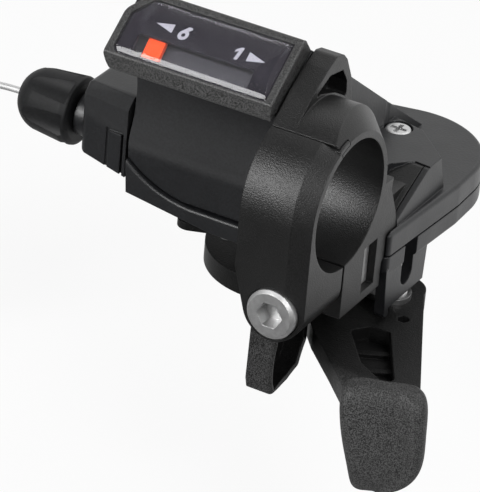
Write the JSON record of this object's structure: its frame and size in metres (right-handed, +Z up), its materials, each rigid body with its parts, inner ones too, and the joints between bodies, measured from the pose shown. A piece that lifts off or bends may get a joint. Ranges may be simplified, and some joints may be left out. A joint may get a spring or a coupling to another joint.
{
  "type": "trigger gear shifter",
  "caption": "Right-hand thumb-trigger gear shifter with bar clamp, gear display, fluted cable adjuster, ratchet works, push lever and release lever.",
  "frame": {"origin": "middle of the handlebar clamp's bore, on the bar's axis", "axes": "+X along the handlebar, outboard to the rider's right; +Y forward, away from the rider; +Z up"},
  "size_m": [0.1402, 0.071, 0.0853],
  "materials": {
    "shell_plastic": "fine satin",
    "grained_plastic": "grained, glass filled",
    "display_plastic": "gloss",
    "lens": "clear gloss",
    "pointer": "matt",
    "bright_steel": "bright plated",
    "steel": "plain",
    "insert_brass": "plain",
    "cable_steel": "stranded wire",
    "tie_plastic": "plain"
  },
  "bodies": {
    "housing": {"upper_cover": "shell_plastic", "lower_cover": "shell_plastic", "cable_guide": "shell_plastic", "hub_cap": "shell_plastic", "clamp_bracket": "grained_plastic", "clamp_band": "grained_plastic", "display_housing": "display_plastic", "dial_plate": "display_plastic", "display_lens": "lens", "clamp_bolt": "bright_steel", "clamp_nut": "bright_steel", "cover_screw": "bright_steel", "tray_screws": "bright_steel", "base_plate": "steel", "main_axle": "steel", "spool_spring": "steel", "thrust_washer": "steel", "lever_washer": "steel", "holding_post": "steel", "holding_spring": "steel", "lever_spring": "steel", "axle_insert": "insert_brass", "cable_inner": "cable_steel", "cable_run": "cable_steel", "cable_coil": "cable_steel", "cable_tie": "tie_plastic"},
    "spool": {"cable_spool": "grained_plastic", "ratchet_wheel": "steel", "cable_wound": "cable_steel", "cable_head": "cable_steel"},
    "pointer": {"gear_pointer": "pointer"},
    "thumb_lever": {"main_lever": "grained_plastic", "lever_plate": "steel", "lever_rivet": "bright_steel", "pawl_pin": "steel", "drive_spring": "steel"},
    "drive_pawl": {"drive_pawl": "steel"},
    "holding_pawl": {"holding_pawl": "steel"},
    "release_lever": {"release_lever": "grained_plastic"},
    "adjuster": {"adjuster_barrel": "shell_plastic"}
  },
  "joints": [
    {"name": "spool_turn", "type": "hinge", "parent": "housing", "child": "spool", "pos_m": [-0.018, 0.0275, -0.02], "axis": [0, 0, 1], "range_deg": [0, 90]},
    {"name": "pointer_slide", "type": "slide", "parent": "housing", "child": "pointer", "axis": [1, 0, 0], "range_m": [0, 0.01443]},
    {"name": "lever_push", "type": "hinge", "parent": "housing", "child": "thumb_lever", "pos_m": [-0.018, 0.0275, -0.02], "axis": [0, 0, 1], "range_deg": [0, 36], "stiffness_Nm_per_rad": 0.4, "springref_deg": -17.19},
    {"name": "drive_pawl_swing", "type": "hinge", "parent": "thumb_lever", "child": "drive_pawl", "pos_m": [-0.0026, 0.01672, -0.021], "axis": [0, 0, 1], "range_deg": [-6, 0], "stiffness_Nm_per_rad": 0.02, "springref_deg": 5.73},
    {"name": "release_press", "type": "hinge", "parent": "housing", "child": "release_lever", "pos_m": [-0.018, 0.0275, -0.02], "axis": [0, 0, -1], "range_deg": [0, 16], "stiffness_Nm_per_rad": 0.4, "springref_deg": -17.19},
    {"name": "holding_pawl_swing", "type": "hinge", "parent": "housing", "child": "holding_pawl", "pos_m": [-0.0366, 0.0275, -0.021], "axis": [0, 0, -1], "range_deg": [0, 8]},
    {"name": "adjuster_turn", "type": "hinge", "parent": "housing", "child": "adjuster", "pos_m": [-0.06, 0.018, -0.0106], "axis": [1, 0, 0], "continuous": true}
  ],
  "couplings": [
    {"joint": "pointer_slide", "follows": "spool_turn", "m_per_rad": 0.0091832},
    {"joint": "holding_pawl_swing", "follows": "release_press", "ratio": 0.5}
  ]
}
